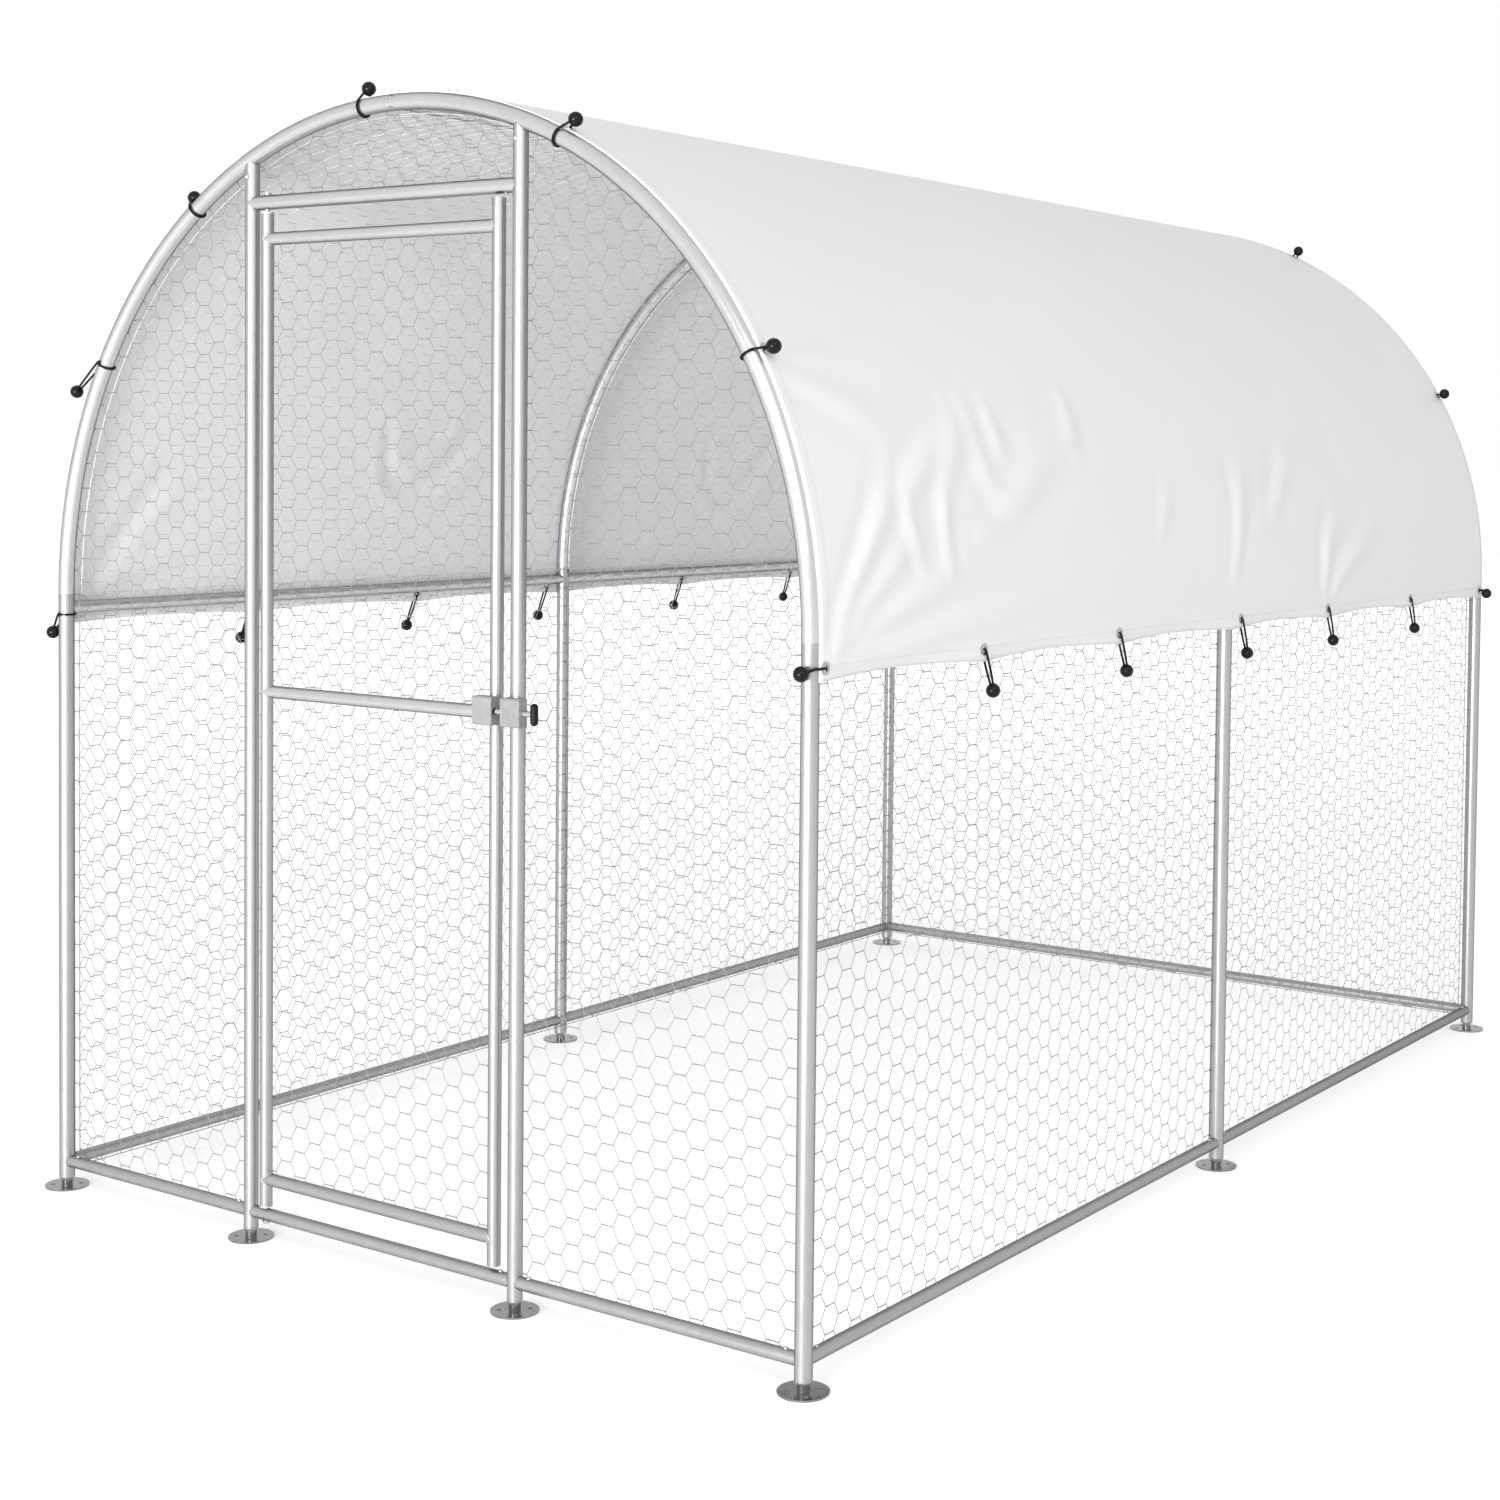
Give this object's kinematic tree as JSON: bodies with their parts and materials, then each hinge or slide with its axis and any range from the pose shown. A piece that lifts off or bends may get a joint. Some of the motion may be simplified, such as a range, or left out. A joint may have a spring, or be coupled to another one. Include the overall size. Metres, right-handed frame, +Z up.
{
  "type": "chicken run",
  "caption": "Walk-in run with a round-topped galvanised tube frame, hexagonal wire netting, a netted pivot door with a sliding bolt, and a roof sheet held by ball bungees.",
  "frame": {"origin": "on the ground, under the middle of the run", "axes": "+Z up; +Y along the run from the door end to the back; +X to the right when facing the door"},
  "size_m": [1.79, 2.8828, 2.0066],
  "materials": {
    "galvanised_tube": "galvanised, satin",
    "net_wire": "galvanised wire, dull",
    "foot_zinc": "dark zinc plate, polished",
    "fastener_zinc": "zinc plated",
    "cover_fabric": "coated white sheet, matt",
    "eyelet_metal": "pressed, bright",
    "elastic_cord": "black sheathed elastic",
    "bungee_ball": "black moulded",
    "bush_nylon": "moulded nylon",
    "knob_plastic": "moulded"
  },
  "bodies": {
    "frame": {"front_left_post": "galvanised_tube", "front_right_post": "galvanised_tube", "middle_left_post": "galvanised_tube", "middle_right_post": "galvanised_tube", "back_left_post": "galvanised_tube", "back_right_post": "galvanised_tube", "front_left_hoop": "galvanised_tube", "front_right_hoop": "galvanised_tube", "middle_left_hoop": "galvanised_tube", "middle_right_hoop": "galvanised_tube", "back_left_hoop": "galvanised_tube", "back_right_hoop": "galvanised_tube", "crown_joiners": "galvanised_tube", "hinge_post": "galvanised_tube", "latch_post": "galvanised_tube", "lintel": "galvanised_tube", "threshold": "galvanised_tube", "front_left_sill": "galvanised_tube", "front_right_sill": "galvanised_tube", "left_front_sill": "galvanised_tube", "left_back_sill": "galvanised_tube", "right_front_sill": "galvanised_tube", "right_back_sill": "galvanised_tube", "back_sill": "galvanised_tube", "left_front_eave": "galvanised_tube", "left_back_eave": "galvanised_tube", "right_front_eave": "galvanised_tube", "right_back_eave": "galvanised_tube", "front_ridge": "galvanised_tube", "back_ridge": "galvanised_tube", "foot_plates": "foot_zinc", "rail_screws": "fastener_zinc", "front_left_net": "net_wire", "front_right_net": "net_wire", "transom_net": "net_wire", "left_front_net": "net_wire", "left_back_net": "net_wire", "right_front_net": "net_wire", "right_back_net": "net_wire", "back_net": "net_wire", "roof_net": "net_wire", "cover": "cover_fabric", "eyelets": "eyelet_metal", "hoop_bungee_cords": "elastic_cord", "hoop_bungee_balls": "bungee_ball", "eave_bungee_cords": "elastic_cord", "eave_bungee_balls": "bungee_ball", "pivot_pins": "fastener_zinc", "latch_guide": "galvanised_tube"},
    "door": {"hinge_stile": "galvanised_tube", "latch_stile": "galvanised_tube", "door_top_rail": "galvanised_tube", "door_middle_rail": "galvanised_tube", "door_bottom_rail": "galvanised_tube", "door_net": "net_wire", "pivot_bushes": "bush_nylon", "latch_keeper": "galvanised_tube"},
    "latch_bolt": {"latch_bolt": "fastener_zinc", "latch_knob": "knob_plastic"}
  },
  "joints": [
    {"name": "door_swing", "type": "hinge", "parent": "frame", "child": "door", "pos_m": [-0.307, -1.4, 0.968], "axis": [0, 0, -1], "range_deg": [0, 115]},
    {"name": "bolt_slide", "type": "slide", "parent": "frame", "child": "latch_bolt", "axis": [-1, 0, 0], "range_m": [0, 0.015]}
  ]
}
